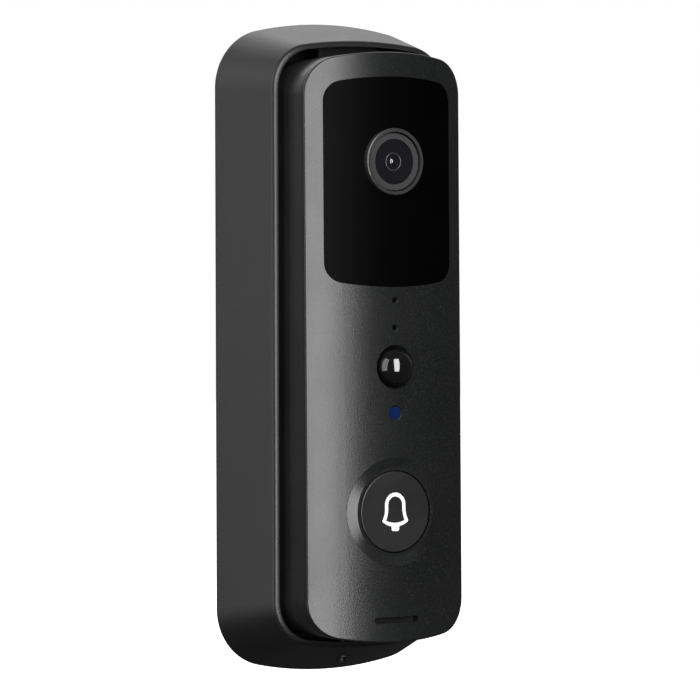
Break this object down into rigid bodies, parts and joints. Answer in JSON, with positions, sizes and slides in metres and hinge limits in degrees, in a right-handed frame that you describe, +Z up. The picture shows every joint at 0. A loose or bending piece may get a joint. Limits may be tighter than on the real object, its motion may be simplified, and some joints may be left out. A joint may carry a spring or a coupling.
{
  "type": "video doorbell",
  "caption": "Slim upright video doorbell: curved face with camera window, motion dome, status light and round bell button, held in a deep wall housing.",
  "frame": {"origin": "middle of the housing's back, on the wall plane", "axes": "+Z up, -Y out from the wall towards the visitor, +X to the visitor's right"},
  "size_m": [0.0586, 0.0363, 0.1517],
  "materials": {
    "housing_plastic": "fine moulded grain, satin",
    "pad_foam": "closed cell foam",
    "shell_plastic": "semi-gloss moulded",
    "cover_paint": "satin paint with fine grain",
    "window_gloss": "mirror gloss",
    "tape": "matt",
    "bezel_black": "semi-gloss",
    "ring_grey": "matt",
    "lens_glass": "coated glass",
    "clear_lens": "clear",
    "optic_black": "matt black",
    "dome_black": "polished",
    "status_blue": "translucent blue",
    "button_black": "smooth satin",
    "icon_white": "translucent white",
    "diffuser": "milky",
    "circuit_board": "solder mask",
    "board_black": "solder mask",
    "chip_black": "moulded epoxy",
    "can_steel": "tinned sheet",
    "steel": "zinc plated",
    "brass": "plain",
    "cell_wrap": "shrink sleeve",
    "silicone": "soft matt",
    "grey_plastic": "moulded",
    "cone_film": "film",
    "led_white": "phosphor",
    "foil": "flexible circuit"
  },
  "bodies": {
    "housing": {"wall_pad": "pad_foam", "wall_housing": "housing_plastic"},
    "doorbell": {"body_shell": "shell_plastic", "battery_cover": "shell_plastic", "face_cover": "cover_paint", "window_panel": "window_gloss", "window_tape": "tape", "camera_bezel": "bezel_black", "lens_ring": "ring_grey", "front_lens": "lens_glass", "aperture_ring": "optic_black", "lens_barrel": "optic_black", "inner_lenses": "clear_lens", "lens_holder": "optic_black", "image_sensor": "chip_black", "camera_board": "board_black", "infrared_board": "board_black", "infrared_leds": "clear_lens", "light_sensor": "clear_lens", "motion_dome": "dome_black", "motion_sensor": "can_steel", "status_light_pipe": "status_blue", "status_led": "led_white", "microphones": "can_steel", "microphone_boots": "silicone", "bell_switch": "can_steel", "button_leds": "led_white", "speaker": "grey_plastic", "speaker_cone": "cone_film", "speaker_gasket": "silicone", "speaker_mesh": "steel", "battery_cells": "cell_wrap", "battery_contacts": "steel", "battery_seal": "silicone", "inner_tray": "grey_plastic", "main_board": "circuit_board", "board_screws": "steel", "processor_can": "can_steel", "radio_module": "can_steel", "aerial": "foil", "service_board": "circuit_board", "charging_socket": "can_steel", "socket_plug": "silicone", "reset_switch": "chip_black", "power_switch": "can_steel", "card_socket": "can_steel", "terminal_block": "optic_black", "terminal_screws": "brass", "case_screws": "steel"},
    "bell_button": {"button_cap": "button_black", "bell_icon": "icon_white", "button_light_guide": "diffuser", "switch_plunger": "grey_plastic"},
    "security_screw": {"security_screw": "steel"},
    "battery_latch": {"battery_latch": "grey_plastic"},
    "reset_button": {"reset_button": "grey_plastic"},
    "power_slider": {"power_slider": "grey_plastic"}
  },
  "joints": [
    {"name": "unit_tilt_out", "type": "hinge", "parent": "housing", "child": "doorbell", "pos_m": [0, -0.012, 0.06655], "axis": [-1, 0, 0], "range_deg": [0, 11]},
    {"name": "bell_button_press", "type": "slide", "parent": "doorbell", "child": "bell_button", "axis": [0, 1, -0.0087], "range_m": [0, 0.0007], "stiffness_N_per_m": 900},
    {"name": "security_screw_back_out", "type": "slide", "parent": "housing", "child": "security_screw", "axis": [0, 0, -1], "range_m": [0, 0.006]},
    {"name": "battery_latch_slide", "type": "slide", "parent": "doorbell", "child": "battery_latch", "axis": [1, 0, 0], "range_m": [0, 0.003]},
    {"name": "reset_button_press", "type": "slide", "parent": "doorbell", "child": "reset_button", "axis": [0, -1, 0.0087], "range_m": [0, 0.0004], "stiffness_N_per_m": 500},
    {"name": "power_slider_slide", "type": "slide", "parent": "doorbell", "child": "power_slider", "axis": [1, 0, 0], "range_m": [0, 0.0025]}
  ]
}
